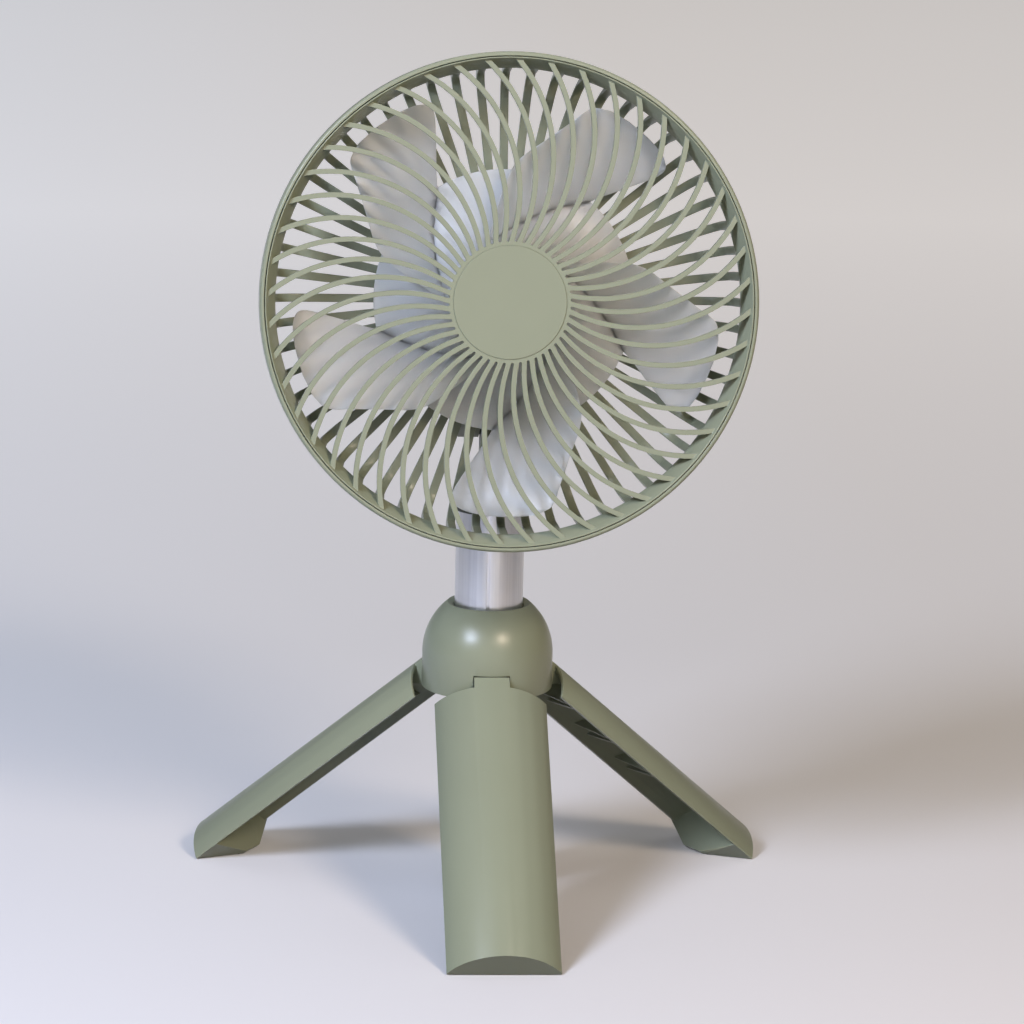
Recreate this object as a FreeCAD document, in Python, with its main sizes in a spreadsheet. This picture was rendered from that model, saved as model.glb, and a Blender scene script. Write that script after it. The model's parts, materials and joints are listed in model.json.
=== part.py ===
"""Portable camping fan: round caged fan head on a telescopic mast and three folding legs.

Millimetres. The fan faces -Y and one leg points to -Y. Z is up, and the origin is on the
floor, at the centre of the standing fan's outline.
"""
import FreeCAD, Part
import math
import os
import re

import Sketcher
from FreeCAD import Placement, Rotation, Vector

SIZES = [
    # name, value, what it is
    ("head_dia", 180.0, "outer diameter of the fan head"),
    ("rim_wall", 1.6, "wall of the rear cage's rim band"),
    ("rim_gap", 0.3, "parting gap between the grille ring and the rim band"),
    ("rim_depth", 12.0, "depth of the rim band"),
    ("rim_bevel", 0.7, "bevel on the rim band's front edge"),
    ("ring_depth", 8.0, "depth of the front grille's ring"),
    ("ring_lip", 0.4, "flat front edge of the ring"),
    ("ring_taper", 3.6, "how far the ring's inner wall slants inwards"),
    ("rib_count", 48, "swirled ribs of the front grille"),
    ("rib_width", 1.8, "width of a front rib"),
    ("rib_depth", 3.0, "depth of a front rib"),
    ("rib_drop", 1.5, "how far the ribs lie behind the ring's front edge"),
    ("swirl_radius", 55.4, "radius of the arc that a front rib follows"),
    ("swirl_reach", 65.5, "distance of that arc's centre from the fan axis"),
    ("swirl_angle", 52.9, "direction of that centre, degrees from up towards the left"),
    ("slot_root", 22.4, "radius on which the rounded slot roots lie"),
    ("cap_dia", 41.0, "diameter of the grille cap"),
    ("cap_thick", 1.5, "thickness of the grille cap"),
    ("cap_recess", 1.2, "depth of its seat in the grille"),
    ("cap_bevel", 0.15, "bevel of the cap's edge"),
    ("cap_gap", 0.05, "clearance round the cap in its seat"),
    ("cage_depth", 40.0, "depth of the head from ring front to cage back"),
    ("cage_bar_count", 56, "bars of the rear cage"),
    ("cage_bar_width", 3.0, "width of a cage bar"),
    ("cage_bar_thick", 2.4, "thickness of a cage bar"),
    ("cage_bend", 12.0, "radius of the bend from cage side to cage back"),
    ("cage_taper", 2.6, "how far the cage side narrows towards the back"),
    ("cage_ring_dia", 92.0, "outer diameter of the cage's back ring"),
    ("cage_hole_dia", 60.0, "hole in the back ring"),
    ("fan_dia", 156.6, "impeller diameter over the blade tips"),
    ("blade_count", 5, "blades"),
    ("blade_thick", 1.8, "blade thickness along the axis"),
    ("blade_camber", 75.0, "radius of the blade's hollow"),
    ("hub_dia", 41.0, "diameter of the impeller's nose"),
    ("hub_front", 9.0, "depth of the nose behind the ring's front edge"),
    ("hub_plate", 3.0, "thickness of the nose"),
    ("hub_wall", 1.8, "wall of the impeller's bell"),
    ("flare_start", 15.0, "depth at which the bell starts to flare"),
    ("flare_depth", 31.0, "depth of the flared disc's edge"),
    ("flare_dia", 95.2, "diameter of the flared disc"),
    ("flare_bend", 34.0, "radius of the flare's hollow"),
    ("rotor_dia", 34.0, "outer diameter of the motor's rotor cup"),
    ("rotor_wall", 1.6, "wall of the rotor cup"),
    ("rotor_depth", 19.0, "length of the rotor cup"),
    ("stator_dia", 28.4, "outer diameter of the motor's stator"),
    ("stator_slots", 9, "slots of the stator"),
    ("stator_depth", 12.0, "length of the stator"),
    ("air_gap", 0.3, "running gap at moving faces"),
    ("boss_dia", 11.6, "motor boss on the rear housing"),
    ("bearing_dia", 8.0, "outer diameter of a shaft bearing"),
    ("bearing_width", 4.0, "width of a shaft bearing"),
    ("shaft_dia", 3.0, "motor shaft diameter"),
    ("shaft_fit", 0.04, "radial running clearance of shafts and pins"),
    ("nut_dia", 6.0, "impeller nut"),
    ("nut_thick", 2.4, "thickness of the impeller nut"),
    ("pod_dia", 84.0, "diameter of the rear housing"),
    ("pod_wall", 2.0, "wall of the rear housing"),
    ("pod_front", 2.4, "front wall of the rear housing"),
    ("pod_length", 30.0, "length of the rear housing"),
    ("cover_thick", 3.2, "thickness of the housing cover"),
    ("cover_bevel", 2.0, "bevel of the cover's edge"),
    ("cover_spigot", 2.0, "depth that the cover reaches into the housing"),
    ("seat_gap", 0.1, "clearance round a seated piece"),
    ("post_dia", 6.0, "screw posts in the housing"),
    ("post_x", 14.0, "sideways place of the screw posts"),
    ("post_y", 31.0, "vertical place of the screw posts"),
    ("board_depth", 24.0, "depth of the control board behind the cage back"),
    ("board_room", 2.0, "clearance round the control board"),
    ("board_thick", 1.6, "thickness of the control board"),
    ("cell_dia", 18.4, "battery cell diameter"),
    ("cell_length", 65.0, "battery cell length"),
    ("socket_wide", 9.0, "charging socket width"),
    ("socket_tall", 3.2, "charging socket height"),
    ("socket_long", 7.3, "charging socket length"),
    ("socket_shell", 0.4, "wall of the charging socket"),
    ("button_dia", 11.0, "power button diameter"),
    ("button_height", 16.0, "height of the power button above the fan axis"),
    ("button_proud", 1.2, "how far the button stands out of the cover"),
    ("button_travel", 0.8, "travel of the power button"),
    ("button_flange", 1.2, "width and thickness of the flange that keeps the button in"),
    ("switch_thick", 1.2, "height of the switch under the button"),
    ("lens_dia", 3.0, "indicator lens diameter"),
    ("lens_drop", 11.0, "distance of the lens below the button"),
    ("screw_dia", 2.4, "small screws"),
    ("screw_head", 4.4, "heads of the small screws"),
    ("screw_head_thick", 1.4, "thickness of those heads"),
    ("screw_length", 16.0, "length of a cover screw"),
    ("pivot_drop", 47.0, "tilt pivot below the fan axis"),
    ("pivot_depth", 78.0, "tilt pivot behind the ring's front edge"),
    ("pivot_height", 180.3, "tilt pivot above the floor"),
    ("rest_tilt", 9.0, "how far the head leans back at rest, degrees"),
    ("fork_width", 26.0, "width over the two ears of the tilt fork"),
    ("fork_slot", 10.6, "slot between the ears"),
    ("ear_round", 5.5, "radius of an ear round the pivot"),
    ("ear_fore", 30.0, "how far the ears' root reaches forward of the pivot"),
    ("tongue_width", 9.2, "width of the tilt tongue"),
    ("tongue_thick", 9.0, "thickness of the tilt tongue"),
    ("washer_thick", 0.6, "friction washers beside the tongue"),
    ("tilt_screw_dia", 4.0, "tilt screw"),
    ("tilt_head_dia", 7.0, "head and nut of the tilt screw"),
    ("tilt_head_thick", 2.2, "thickness of the head and the nut"),
    ("mast_dia", 25.6, "outer diameter of the lower mast tube"),
    ("tube_wall", 1.0, "wall of the mast tubes"),
    ("tube_step", 0.3, "gap between one tube and the next inside it"),
    ("tube_floor", 10.0, "bottom end of the lower tube above the floor"),
    ("tube_top", 150.0, "top end of the lower tube above the floor"),
    ("groove_width", 0.9, "groove down the mast tubes"),
    ("groove_depth", 0.4, "depth of that groove"),
    ("groove_turn", 6.5, "how far the groove sits left of the front, degrees"),
    ("collar_wall", 1.3, "wall of the tube collars"),
    ("collar_sleeve", 5.0, "length of a collar's sleeve on its tube"),
    ("collar_lip", 2.6, "thickness of a collar over its tube's end"),
    ("glide_flange", 2.0, "flange of the glides and the end plug"),
    ("glide_spigot", 4.0, "spigot of the glides and the end plug"),
    ("glide_wall", 1.5, "wall of the glides"),
    ("glide_fit", 0.06, "radial running clearance of a glide in its tube"),
    ("stage_step", 5.0, "how much higher each inner tube's bottom end sits"),
    ("tongue_flange", 3.0, "flange under the tilt tongue"),
    ("tongue_spigot", 12.0, "spigot of the tilt tongue in the upper tube"),
    ("handle_dia", 49.0, "diameter of the folded handle and the dome"),
    ("shell_wall", 2.2, "wall of the dome and the legs"),
    ("dome_skirt", 13.0, "straight part of the dome above its bottom edge"),
    ("dome_bore", 26.6, "round opening for the mast"),
    ("dome_chamfer", 2.1, "width of the slanted edge of that opening"),
    ("dome_knee", 27.0, "knee in the dome's ceiling, degrees above its straight part"),
    ("notch_width", 13.8, "notch in the dome for a hinge tab"),
    ("notch_height", 9.15, "height of the notch"),
    ("tab_gap", 0.3, "side clearance of a hinge tab in its notch"),
    ("hinge_inset", 6.3, "hinge axis inside the handle's surface"),
    ("knuckle_radius", 4.0, "barrel of the hinge tab"),
    ("knuckle_lean", 20.0, "where the barrel's round ends, degrees below the hinge"),
    ("hinge_pin_dia", 2.5, "leg hinge pin"),
    ("hinge_pin_length", 19.6, "length of a leg hinge pin"),
    ("leg_length", 126.6, "leg from hinge axis to its end face"),
    ("leg_spread", 50.3, "angle between folded and standing leg, degrees"),
    ("leg_top", 7.1, "leg's open top end below the hinge axis"),
    ("leg_side_gap", 0.3, "side clearance between folded legs"),
    ("lip_width", 1.9, "width of the leg's two long lips"),
    ("leg_bevel", 1.4, "bevel on the inner edge of the leg's top end"),
    ("brace_thick", 1.2, "stiffening ribs in the leg"),
    ("brace_inner", 15.4, "ribs' inner edge, from the handle's axis"),
    ("brace_open", 4.2, "half opening of a V of stiffening ribs"),
    ("brace_first", 26.0, "first V of ribs below the hinge axis"),
    ("brace_pitch", 25.0, "spacing of the Vs of ribs"),
    ("brace_count", 3, "Vs of ribs in a leg"),
    ("foot_block", 11.0, "solid length of the foot"),
    ("foot_inner", 4.6, "inner end of the foot, from the handle's axis"),
    ("foot_nose", 11.2, "width of the foot's inner end"),
    ("sole_start", 1.6, "rubber pad behind the foot's outer edge"),
    ("sole_long", 9.0, "length of a rubber pad"),
    ("sole_wide", 13.0, "width of a rubber pad"),
    ("sole_sunk", 0.9, "depth of the pad's recess"),
    ("sole_proud", 0.3, "how far the pad stands out"),
    ("leg_hub_floor", 0.6, "hub's underside above the dome's bottom edge"),
    ("leg_hub_arms", 11.6, "height of the hinge blocks"),
    ("leg_hub_plate", 3.0, "plate that joins the hinge blocks"),
    ("hub_sleeve_wall", 2.2, "wall of the hub's sleeve round the mast"),
    ("hub_sleeve_top", 26.0, "top of the sleeve above the dome's bottom edge"),
    ("dome_post_dia", 5.2, "screw posts under the dome"),
    ("dome_post_offset", 0.25, "those posts nearer the mast than the middle of their room"),
    ("dome_post_drop", 0.8981, "ends of those posts below the dome's ceiling"),
    ("dome_screw_length", 20.0, "length of a hub screw"),
]

# Blade outline, seen from the front with the blade upright. Each station is a plane square to
# the blade: its distance from the axis, how far the trailing and the leading edge lie to the
# left and right, and how deep each edge lies behind the ring's front edge.
BLADE_STATIONS = [
    ("root", 17.0, -17.0, 6.0, 15.5, 31.0),
    ("neck", 35.0, -21.3, 6.5, 14.0, 30.5),
    ("waist", 46.0, -21.6, 9.6, 13.2, 29.2),
    ("belly", 58.0, -16.2, 19.6, 12.8, 28.0),
    ("shoulder", 68.0, -11.4, 27.4, 12.6, 27.0),
    ("corner", 73.0, -9.2, 25.4, 12.8, 24.8),
    ("crown", 76.3, -6.6, 17.5, 13.4, 20.8),
    ("tip", 78.2, -1.0, 7.0, 15.0, 17.0),
]
STATION_SIZES = ("out", "trail_x", "lead_x", "trail_deep", "lead_deep")
BLADE_TURN = 28.8  # the first blade's direction, degrees clockwise from up
LEG_ANGLES = {"front": -90.0, "right": 30.0, "left": 150.0}

doc = FreeCAD.newDocument("camping_fan")
sheet = doc.addObject("Spreadsheet::Sheet", "Sizes")
parts = {}


def fill_sheet():
    """One row for each driving size: its name, its value and what it is."""
    rows = list(SIZES)
    for name, *values in BLADE_STATIONS:
        for size, value in zip(STATION_SIZES, values):
            rows.append((name + "_" + size, value, "blade " + name + ": " + size.replace("_", " ")))
    for row, (alias, value, meaning) in enumerate(rows, 1):
        sheet.set("A%d" % row, alias)
        sheet.set("B%d" % row, str(value))
        sheet.setAlias("B%d" % row, alias)
        sheet.set("C%d" % row, meaning)
    doc.recompute()
    return {alias for alias, _, _ in rows}


ALIASES = fill_sheet()


def bound(text):
    """An expression over size names, as the document's expressions write it."""
    return re.sub(
        r"[a-z][a-z_]*", lambda m: "Sizes." + m.group() if m.group() in ALIASES else m.group(), str(text)
    )


def number(text):
    """The value of an expression over size names."""
    return float(sheet.evalExpression(bound(text)))


def new_body(name):
    body = doc.addObject("PartDesign::Body", name)
    body.Label = name
    parts[name] = body
    return body


def plane(body, role):
    return next(f for f in body.Origin.OriginFeatures if f.Role == role)


def sketch(body, role, lift=None):
    """A sketch on one of the body's own planes, lifted along the plane's normal."""
    made = body.newObject("Sketcher::SketchObject", "Sketch")
    made.AttachmentSupport = (plane(body, role), [""])
    made.MapMode = "FlatFace"
    if lift is not None:
        made.AttachmentOffset = Placement(Vector(0, 0, number(lift)), Rotation())
        made.setExpression("AttachmentOffset.Base.z", bound(lift))
    return made


def pin_vertex(made, geometry, end, x, y):
    """Ties a vertex to its two coordinates."""
    for axis, value in (("DistanceX", x), ("DistanceY", y)):
        index = made.addConstraint(Sketcher.Constraint(axis, -1, 1, geometry, end, number(value)))
        made.setExpression("Constraints[%d]" % index, bound(value))


def arc_between(start, stop, radius, side):
    """The short arc from start to stop, bulging left (side 1) or right (side -1) of the way."""
    way = stop - start
    half = way.Length / 2
    left = Vector(-way.y, way.x, 0).normalize()
    centre = (start + stop) / 2 - left * side * math.sqrt(max(radius**2 - half**2, 0))
    first, last = (stop, start) if side > 0 else (start, stop)
    begin = math.atan2(first.y - centre.y, first.x - centre.x)
    end = math.atan2(last.y - centre.y, last.x - centre.x)
    if end <= begin:
        end += 2 * math.pi
    return Part.ArcOfCircle(Part.Circle(centre, Vector(0, 0, 1), radius), begin, end)


def loop(made, points):
    """A closed outline. A point is (x, y), or (x, y, radius, side) where an arc starts there."""
    first = made.GeometryCount
    places = [Vector(number(p[0]), number(p[1]), 0) for p in points]
    starts, ends = [], []
    for i, point in enumerate(points):
        start, stop = places[i], places[(i + 1) % len(points)]
        if len(point) == 2:
            made.addGeometry(Part.LineSegment(start, stop), False)
            starts.append(1)
        else:
            made.addGeometry(arc_between(start, stop, number(point[2]), point[3]), False)
            starts.append(2 if point[3] > 0 else 1)
        ends.append(3 - starts[-1])
    for i, point in enumerate(points):
        following = (i + 1) % len(points)
        made.addConstraint(
            Sketcher.Constraint("Coincident", first + i, ends[i], first + following, starts[following])
        )
        pin_vertex(made, first + i, starts[i], point[0], point[1])
        if len(point) == 4:
            index = made.addConstraint(Sketcher.Constraint("Radius", first + i, number(point[2])))
            made.setExpression("Constraints[%d]" % index, bound(point[2]))


def circle(made, x, y, radius):
    centre = Vector(number(x), number(y), 0)
    index = made.addGeometry(Part.Circle(centre, Vector(0, 0, 1), number(radius)), False)
    pin_vertex(made, index, 3, x, y)
    constraint = made.addConstraint(Sketcher.Constraint("Radius", index, number(radius)))
    made.setExpression("Constraints[%d]" % constraint, bound(radius))


def box_loop(made, x_low, x_high, y_low, y_high):
    loop(made, [(x_low, y_low), (x_high, y_low), (x_high, y_high), (x_low, y_high)])


def extrude(body, kind, made, length, both=False, backwards=False):
    feature = body.newObject("PartDesign::" + kind, kind)
    feature.Profile = made
    feature.Length = number(length)
    feature.setExpression("Length", bound(length))
    if both:
        feature.SideType = "Symmetric"
    feature.Reversed = backwards
    return feature


def turn(body, made, kind="Revolution"):
    feature = body.newObject("PartDesign::" + kind, kind)
    feature.Profile = made
    feature.ReferenceAxis = (made, ["V_Axis"])
    feature.Angle = 360
    return feature


def around(body, feature, count):
    """Copies a feature round the body's Z axis, evenly."""
    pattern = body.newObject("PartDesign::PolarPattern", "PolarPattern")
    pattern.Originals = [feature]
    pattern.Axis = (plane(body, "Z_Axis"), [""])
    pattern.Angle = 360
    pattern.setExpression("Occurrences", bound(count))
    body.Tip = pattern
    return pattern


def turned_piece(name, points):
    """A body turned from one outline of (radius, height) points."""
    body = new_body(name)
    profile = sketch(body, "XZ_Plane")
    loop(profile, points)
    turn(body, profile)
    return body


def ring_points(inner, outer, low, high):
    return [(inner, low), (outer, low), (outer, high), (inner, high)]


def rod(radius, length, x=0, y=0, z=0, axis=Vector(0, 0, 1)):
    """A plain cylinder that starts at a point and runs along an axis."""
    made = doc.addObject("Part::Cylinder", "Rod")
    made.Placement = Placement(
        Vector(number(x), number(y), number(z)), Rotation(Vector(0, 0, 1), axis)
    )
    for name, value in (("Radius", radius), ("Height", length)):
        made.setExpression(name, bound(value))
    for name, value in (("x", x), ("y", y), ("z", z)):
        made.setExpression("Placement.Base." + name, bound(value))
    return made


def joined(name, pieces):
    made = doc.addObject("Part::MultiFuse", name)
    made.Shapes = pieces
    return made


def group(name, pieces):
    """Separate solids of one kind, kept as one sub-part."""
    made = doc.addObject("Part::Compound", name)
    made.Label = name
    made.Links = pieces
    parts[name] = made
    return made


# Fan head. Local frame: +Z is the way the air leaves, +Y is up, and z = 0 is the ring's front.

RING_OUTER = "(head_dia / 2 - rim_wall - rim_gap)"
RING_INNER = "(head_dia / 2 - rim_wall - rim_gap - ring_lip)"
RIM_INNER = "(head_dia / 2 - rim_wall)"
RIM_LEDGE = "(head_dia / 2 - rim_wall - rim_gap - ring_lip - ring_taper)"


def swirl_centre(step):
    """Centre of the arc that rib number step follows, counted clockwise."""
    angle = "((swirl_angle - %d * 360 / rib_count) * 1 deg)" % step
    return "-swirl_reach * sin(" + angle + ")", "swirl_reach * cos(" + angle + ")"


def crossing(centre, radius, circle_radius):
    """Where an arc about centre crosses a circle about the axis, on the arc's right-hand side."""
    reach = centre.Length
    along = (circle_radius**2 - radius**2 + reach**2) / (2 * reach)
    across = math.sqrt(circle_radius**2 - along**2)
    towards = centre * (1 / reach)
    return towards * along + Vector(towards.y, -towards.x, 0) * across


def swirl_slot(made):
    """The gap between two neighbouring ribs: two arcs, a round root, and an end past the plate."""
    centres = [Vector(number(x), number(y), 0) for x, y in (swirl_centre(0), swirl_centre(1))]
    radii = ["swirl_radius + rib_width / 2", "swirl_radius - rib_width / 2"]
    root, rim = "slot_root", RING_OUTER
    inner = [crossing(c, number(r), number(root)) for c, r in zip(centres, radii)]
    outer = [crossing(c, number(r), number(rim)) for c, r in zip(centres, radii)]
    sides = [
        made.addGeometry(arc_between(inner[k], outer[k], number(radii[k]), -1), False) for k in (0, 1)
    ]
    cup = made.addGeometry(arc_between(inner[0], inner[1], (inner[1] - inner[0]).Length / 2, -1), False)
    lid = made.addGeometry(Part.LineSegment(outer[0], outer[1]), False)
    guides = []
    for radius in (root, rim):
        guide = made.addGeometry(Part.Circle(Vector(), Vector(0, 0, 1), number(radius)), True)
        made.addConstraint(Sketcher.Constraint("Coincident", guide, 3, -1, 1))
        index = made.addConstraint(Sketcher.Constraint("Radius", guide, number(radius)))
        made.setExpression("Constraints[%d]" % index, bound(radius))
        guides.append(guide)

    def end_at(geometry, point):
        shape = made.Geometry[geometry]
        return 1 if (shape.StartPoint - point).Length < (shape.EndPoint - point).Length else 2

    for k in (0, 1):
        x, y = swirl_centre(k)
        pin_vertex(made, sides[k], 3, x, y)
        index = made.addConstraint(Sketcher.Constraint("Radius", sides[k], number(radii[k])))
        made.setExpression("Constraints[%d]" % index, bound(radii[k]))
        near, far = end_at(sides[k], inner[k]), end_at(sides[k], outer[k])
        made.addConstraint(Sketcher.Constraint("PointOnObject", sides[k], near, guides[0]))
        made.addConstraint(Sketcher.Constraint("PointOnObject", sides[k], far, guides[1]))
        made.addConstraint(Sketcher.Constraint("Coincident", cup, end_at(cup, inner[k]), sides[k], near))
        made.addConstraint(Sketcher.Constraint("Coincident", lid, end_at(lid, outer[k]), sides[k], far))
    made.addConstraint(Sketcher.Constraint("PointOnObject", cup, 3, guides[0]))


def front_grille():
    """Ring, swirled ribs and centre disc: a plate with curved slots, set in a slanted ring."""
    body = new_body("front_grille")
    plate = sketch(body, "XY_Plane", "-rib_drop - rib_depth")
    circle(plate, "0", "0", RING_INNER)
    extrude(body, "Pad", plate, "rib_depth")
    slot = sketch(body, "XY_Plane", "-rib_drop")
    swirl_slot(slot)
    around(body, extrude(body, "Pocket", slot, "rib_depth"), "rib_count")
    ring = sketch(body, "XZ_Plane")
    loop(
        ring,
        [
            (RING_INNER, "0"),
            (RIM_LEDGE, "-ring_depth"),
            (RING_OUTER, "-ring_depth"),
            (RING_OUTER, "0"),
        ],
    )
    turn(body, ring)
    seat = sketch(body, "XY_Plane", "-rib_drop")
    circle(seat, "0", "0", "cap_dia / 2 + cap_gap")
    extrude(body, "Pocket", seat, "cap_recess")


def grille_cap():
    face = "(cap_thick - rib_drop - cap_recess)"
    turned_piece(
        "grille_cap",
        [
            ("0", "-rib_drop - cap_recess"),
            ("cap_dia / 2", "-rib_drop - cap_recess"),
            ("cap_dia / 2", face + " - cap_bevel"),
            ("cap_dia / 2 - cap_bevel", face),
            ("0", face),
        ],
    )


def rear_cage():
    """Rim band, bowl of radial bars and back ring."""
    body = new_body("rear_cage")
    rim = sketch(body, "XZ_Plane")
    loop(
        rim,
        [
            (RIM_INNER, "-rim_bevel / 2"),
            (RIM_INNER, "-ring_depth"),
            (RIM_LEDGE, "-ring_depth"),
            (RIM_LEDGE, "-ring_depth - cage_bar_thick"),
            (RIM_INNER, "-rim_depth"),
            ("head_dia / 2", "-rim_depth"),
            ("head_dia / 2", "-rim_bevel / 2 - rim_bevel"),
            ("head_dia / 2 - rim_bevel", "-rim_bevel / 2"),
        ],
    )
    turn(body, rim)
    bar = sketch(body, "XZ_Plane")
    side_low = "(" + RING_OUTER + " - cage_taper)"
    bend_in = side_low + " - cage_bend"
    into_ring = "(cage_ring_dia / 2 - cage_bar_thick / 2)"
    loop(
        bar,
        [
            (RING_OUTER, "-ring_depth - cage_bar_thick / 2"),
            (side_low, "-cage_depth + cage_bend", "cage_bend", 1),
            (bend_in, "-cage_depth"),
            (into_ring, "-cage_depth"),
            (into_ring, "-cage_depth + cage_bar_thick"),
            (bend_in, "-cage_depth + cage_bar_thick", "cage_bend - cage_bar_thick", -1),
            (side_low + " - cage_bar_thick", "-cage_depth + cage_bend"),
            (RING_OUTER + " - cage_bar_thick", "-ring_depth - cage_bar_thick / 2"),
        ],
    )
    around(body, extrude(body, "Pad", bar, "cage_bar_width", both=True), "cage_bar_count")
    back = sketch(body, "XZ_Plane")
    inside = "-cage_depth + cage_bar_thick"
    loop(back, ring_points("cage_hole_dia / 2", "cage_ring_dia / 2", "-cage_depth", inside))
    turn(body, back)


def blade_section(body, name):
    """One station of the blade: a thin curved strip from trailing to leading edge."""
    made = sketch(body, "XZ_Plane", "-" + name + "_out")
    left, right = name + "_trail_x", name + "_lead_x"
    front, back = "-" + name + "_trail_deep", "-" + name + "_lead_deep"
    loop(
        made,
        [
            (left, front, "blade_camber", -1),
            (right, back),
            (right, back + " - blade_thick / 2", "blade_camber", 1),
            (left, front + " - blade_thick"),
        ],
    )
    return made


def impeller():
    """Flared bell with five swept blades lofted through eight stations, hollowed from behind."""
    body = new_body("impeller")
    bell = sketch(body, "XZ_Plane")
    loop(
        bell,
        [
            ("shaft_dia / 2", "-hub_front"),
            ("hub_dia / 2 - hub_wall", "-hub_front"),
            ("hub_dia / 2", "-hub_front - hub_wall"),
            ("hub_dia / 2", "-flare_start", "flare_bend", -1),
            ("flare_dia / 2", "-flare_depth + hub_wall"),
            ("flare_dia / 2", "-flare_depth"),
            ("shaft_dia / 2", "-flare_depth"),
        ],
    )
    turn(body, bell)
    sections = [blade_section(body, name) for name, *_ in BLADE_STATIONS]
    blade = body.newObject("PartDesign::AdditiveLoft", "Blade")
    blade.Profile = sections[0]
    blade.Sections = sections[1:]
    blade.Ruled = True
    around(body, blade, "blade_count")
    tips = sketch(body, "XZ_Plane")
    loop(tips, ring_points("fan_dia / 2", "fan_dia / 2 + flare_start", "-cage_depth", "0"))
    turn(body, tips, "Groove")
    hollow = sketch(body, "XZ_Plane")
    wall_in = "(hub_dia / 2 - hub_wall)"
    loop(
        hollow,
        [
            ("0", "-hub_front - hub_plate"),
            (wall_in, "-hub_front - hub_plate"),
            (wall_in, "-flare_start", "flare_bend", -1),
            ("flare_dia / 2 - hub_wall", "-flare_depth"),
            ("flare_dia / 2", "-flare_depth"),
            ("flare_dia / 2", "-cage_depth"),
            ("0", "-cage_depth"),
        ],
    )
    turn(body, hollow, "Groove")


ROTOR_FRONT = "(hub_front + hub_plate)"
BOSS_FRONT = "(hub_front + hub_plate + rotor_wall + air_gap)"
POD_BACK = "(cage_depth + pod_length)"
BOARD_FRONT = "(cage_depth + board_depth)"
BOARD_BACK = "(cage_depth + board_depth + board_thick)"


def motor_rotor():
    """Rotor cup that carries the magnets: it sits in the impeller's bell."""
    inner = "rotor_dia / 2 - rotor_wall"
    turned_piece(
        "motor_rotor",
        [
            ("shaft_dia / 2", "-" + ROTOR_FRONT),
            ("rotor_dia / 2", "-" + ROTOR_FRONT),
            ("rotor_dia / 2", "-" + ROTOR_FRONT + " - rotor_depth"),
            (inner, "-" + ROTOR_FRONT + " - rotor_depth"),
            (inner, "-" + ROTOR_FRONT + " - rotor_wall"),
            ("shaft_dia / 2", "-" + ROTOR_FRONT + " - rotor_wall"),
        ],
    )


def motor_stator():
    """Wound core round the motor boss, with open slots."""
    body = new_body("motor_stator")
    core = sketch(body, "XZ_Plane")
    front = "(-" + BOSS_FRONT + " - rotor_wall)"
    loop(core, ring_points("boss_dia / 2", "stator_dia / 2", front + " - stator_depth", front))
    turn(body, core)
    gap = sketch(body, "XY_Plane", front)
    root, end = "boss_dia / 2 + rotor_wall", "stator_dia / 2 + rotor_wall"
    box_loop(gap, root, end, "-rotor_wall / 2", "rotor_wall / 2")
    around(body, extrude(body, "Pocket", gap, "stator_depth"), "stator_slots")


def motor_bearings():
    places = ("-" + BOSS_FRONT + " - bearing_width", "-cage_depth - pod_front")
    pieces = []
    for place in places:
        outer = rod("bearing_dia / 2", "bearing_width", z=place)
        bore = rod("shaft_dia / 2 + shaft_fit", "bearing_width", z=place)
        cut = doc.addObject("Part::Cut", "Bearing")
        cut.Base, cut.Tool = outer, bore
        pieces.append(cut)
    group("motor_bearings", pieces)


def motor_shaft():
    turned_piece(
        "motor_shaft",
        [
            ("0", "-hub_front + nut_thick"),
            ("0", "-cage_depth - pod_front"),
            ("shaft_dia / 2", "-cage_depth - pod_front"),
            ("shaft_dia / 2", "-hub_front + nut_thick"),
        ],
    )


def impeller_nut():
    front = "-hub_front + nut_thick"
    turned_piece("impeller_nut", ring_points("shaft_dia / 2", "nut_dia / 2", "-hub_front", front))


def post_circles(made, radius):
    for x in ("-post_x", "post_x"):
        for y in ("-post_y", "post_y"):
            circle(made, x, y, radius)


def fork_ears(body):
    """Two ears that reach back from the housing's underside to the tilt axis, rounded round it."""
    made = sketch(body, "YZ_Plane")
    root = "-pod_dia / 2 + pod_wall"
    axis_y, axis_z = "-pivot_drop", "-pivot_depth"
    aft = "-" + POD_BACK + " + cover_spigot + seat_gap"
    below_cover = "-pod_dia / 2 - air_gap"
    loop(
        made,
        [
            (root, axis_z + " + ear_fore"),
            (root, aft),
            (below_cover, aft),
            (axis_y, axis_z + " - ear_round", "ear_round", 1),
            (axis_y + " - ear_round", axis_z),
        ],
    )
    extrude(body, "Pad", made, "fork_width", both=True)
    slot = sketch(body, "YZ_Plane")
    box_loop(
        slot,
        axis_y + " - 2 * ear_round",
        "-pod_dia / 2",
        axis_z + " - 2 * ear_fore",
        axis_z + " + 2 * ear_fore",
    )
    extrude(body, "Pocket", slot, "fork_slot", both=True)
    hole = sketch(body, "YZ_Plane")
    circle(hole, axis_y, axis_z, "tilt_screw_dia / 2")
    extrude(body, "Pocket", hole, "2 * fork_width", both=True)


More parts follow.
